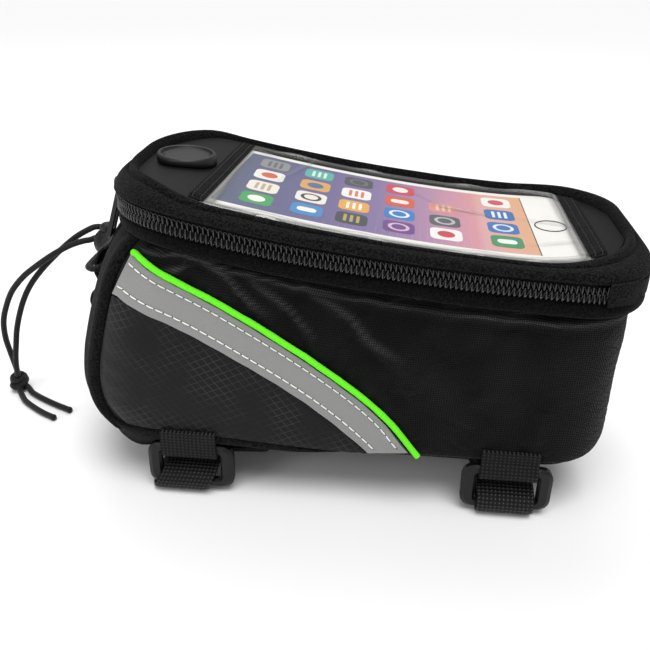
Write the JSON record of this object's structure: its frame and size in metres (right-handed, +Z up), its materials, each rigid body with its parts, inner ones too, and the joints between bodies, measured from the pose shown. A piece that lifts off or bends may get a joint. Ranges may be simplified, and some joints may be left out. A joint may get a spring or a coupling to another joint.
{
  "type": "top tube phone bag",
  "caption": "Padded bicycle top tube bag with a zipped lid, a clear phone window, reflective side stripes, two underside straps and an elastic cord with a lock.",
  "frame": {"origin": "bottom centre of the bag's box without its free cord: the straps' undersides rest on z = 0", "axes": "+X towards the bag's rear end, -X towards the front end with the badge and the cord lock, +Z up, +Y to the far side, away from the strap rings"},
  "size_m": [0.2548, 0.0942, 0.1179],
  "materials": {
    "woven_cloth": "woven polyester over foam",
    "napped_cloth": "napped polyester",
    "lining_cloth": "plain lining cloth",
    "board": "thin polyethylene board",
    "ripstop": "coated ripstop with a fine lattice",
    "reflective_tape": "grey reflective tape, stitched",
    "green_piping": "lime green piping",
    "zip_tape": "woven zip tape",
    "zip_coil": "black nylon coil",
    "zip_metal": "black lacquered zinc",
    "pull_plastic": "moulded pull",
    "webbing": "ribbed polypropylene webbing",
    "black_plastic": "matte black acetal",
    "loop_pile": "loop pile tape",
    "cord": "braided elastic cord",
    "spring_steel": "plain spring steel",
    "smooth_cloth": "smooth coated cloth",
    "clear_film": "clear PVC film",
    "card": "printed display card with a plain colour gradient",
    "badge_rubber": "moulded badge, left bare"
  },
  "bodies": {
    "bag": {"body_shell": "woven_cloth", "body_lining": "lining_cloth", "base_board": "board", "base_gusset": "napped_cloth", "front_gusset": "napped_cloth", "mouth_band": "napped_cloth", "ripstop_panel_near": "ripstop", "ripstop_panel_far": "ripstop", "reflective_tape_near": "reflective_tape", "reflective_tape_far": "reflective_tape", "green_piping_near": "green_piping", "green_piping_far": "green_piping", "zip_tape_lower": "zip_tape", "zip_coil_lower": "zip_coil", "lid_hinge_strip": "napped_cloth", "zip_slider_near": "zip_metal", "zip_slider_far": "zip_metal", "ring_tab_front": "webbing", "ring_tab_rear": "webbing", "strap_ring_front": "black_plastic", "strap_ring_rear": "black_plastic", "strap_front": "webbing", "strap_rear": "webbing", "strap_flap_front": "loop_pile", "front_webbing": "webbing", "cord_loop": "cord", "cord_lock_body": "black_plastic", "cord_lock_spring": "spring_steel", "cord_strand_front": "cord", "cord_strand_rear": "cord", "cord_knot": "cord", "cord_tail_front": "cord", "cord_tail_rear": "cord"},
    "lid": {"lid_border": "napped_cloth", "zip_tape_upper": "zip_tape", "zip_coil_upper": "zip_coil", "lid_front_panel": "smooth_cloth", "lid_rear_panel": "smooth_cloth", "window_trim_front": "napped_cloth", "window_trim_rear": "napped_cloth", "window_film": "clear_film", "display_card": "card", "lid_backing": "lining_cloth", "round_badge": "badge_rubber", "zip_end_cover_near": "napped_cloth", "zip_end_cover_far": "napped_cloth"},
    "pull_near": {"zip_pull_near": "pull_plastic"},
    "pull_far": {"zip_pull_far": "pull_plastic"},
    "lock_button": {"cord_lock_button": "black_plastic"}
  },
  "joints": [
    {"name": "lid_hinge", "type": "hinge", "parent": "bag", "child": "lid", "pos_m": [0.0998, 0, 0.0893], "axis": [0, 1, 0], "range_deg": [0, 105]},
    {"name": "pull_near_swing", "type": "hinge", "parent": "bag", "child": "pull_near", "pos_m": [-0.08195, -0.008, 0.107], "axis": [0, 1, 0], "range_deg": [0, 140]},
    {"name": "pull_far_swing", "type": "hinge", "parent": "bag", "child": "pull_far", "pos_m": [-0.08195, 0.008, 0.107], "axis": [0, 1, 0], "range_deg": [0, 140]},
    {"name": "lock_button_press", "type": "slide", "parent": "bag", "child": "lock_button", "axis": [0, 0, -1], "range_m": [0, 0.0011], "stiffness_N_per_m": 2000, "springref_m": -0.0005, "deforming": ["cord_lock_spring"]}
  ]
}
